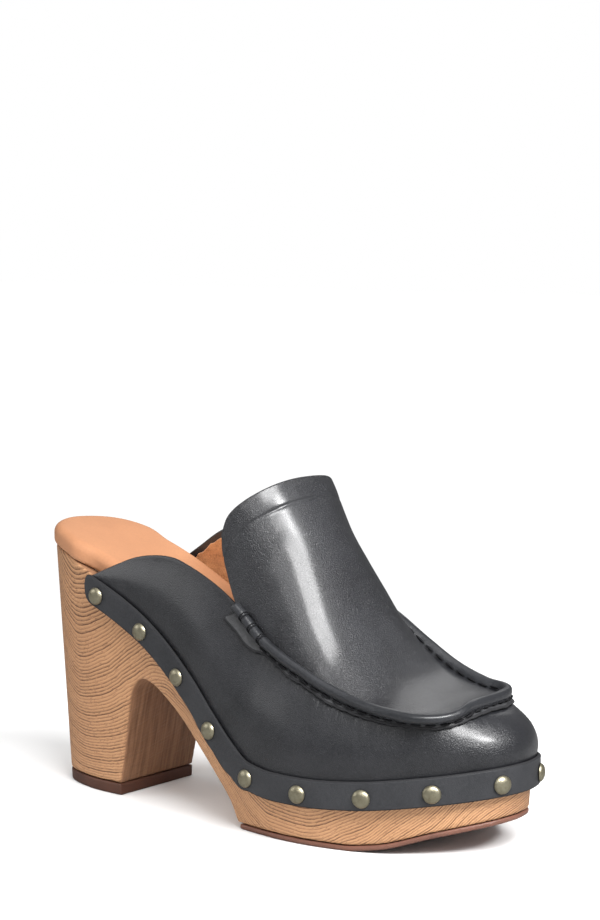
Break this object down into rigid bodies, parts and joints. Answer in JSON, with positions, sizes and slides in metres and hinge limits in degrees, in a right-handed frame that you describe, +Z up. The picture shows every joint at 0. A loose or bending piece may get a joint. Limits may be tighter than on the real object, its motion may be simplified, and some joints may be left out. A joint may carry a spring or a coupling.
{
  "type": "wooden clog",
  "caption": "Right-foot mule clog with a carved wooden block heel and platform, a studded leather band, and a closed moccasin-seamed upper with a raised tongue.",
  "frame": {"origin": "centre of the heel lift's flat bottom face, which stands on the floor", "axes": "+X from heel to toe, +Y towards the inner (medial) side of this right-foot clog, +Z up"},
  "size_m": [0.2407, 0.0978, 0.143],
  "materials": {
    "wood": "satin oiled, visible grain",
    "lift_rubber": "satin dark brown",
    "outsole_rubber": "satin reddish brown",
    "grey_leather": "burnished, soft gloss",
    "suede_lining": "matt suede",
    "footbed_leather": "smooth matt",
    "foam": "open foam",
    "stiffener": "matt fibreboard",
    "antique_brass": "antiqued satin",
    "waxed_thread": "waxed, dark",
    "steel": "plain"
  },
  "bodies": {
    "root": {"wood_sole": "wood", "heel_lift": "lift_rubber", "lift_nail_1": "steel", "lift_nail_2": "steel", "lift_nail_3": "steel", "forefoot_outsole": "outsole_rubber", "footbed_cover": "footbed_leather", "footbed_foam": "foam", "vamp_wall": "grey_leather", "toe_stiffener": "stiffener", "vamp_lining": "suede_lining", "apron_tongue": "grey_leather", "tongue_lining": "suede_lining", "seam_thread": "waxed_thread", "wrap_outer_1": "waxed_thread", "wrap_outer_2": "waxed_thread", "wrap_outer_3": "waxed_thread", "wrap_inner_1": "waxed_thread", "wrap_inner_2": "waxed_thread", "wrap_inner_3": "waxed_thread", "nailed_band": "grey_leather", "stud_01": "antique_brass", "stud_02": "antique_brass", "stud_03": "antique_brass", "stud_04": "antique_brass", "stud_05": "antique_brass", "stud_06": "antique_brass", "stud_07": "antique_brass", "stud_08": "antique_brass", "stud_09": "antique_brass", "stud_10": "antique_brass", "stud_11": "antique_brass", "stud_12": "antique_brass", "stud_13": "antique_brass", "stud_14": "antique_brass", "stud_15": "antique_brass", "stud_16": "antique_brass", "stud_17": "antique_brass", "stud_18": "antique_brass"}
  },
  "joints": []
}
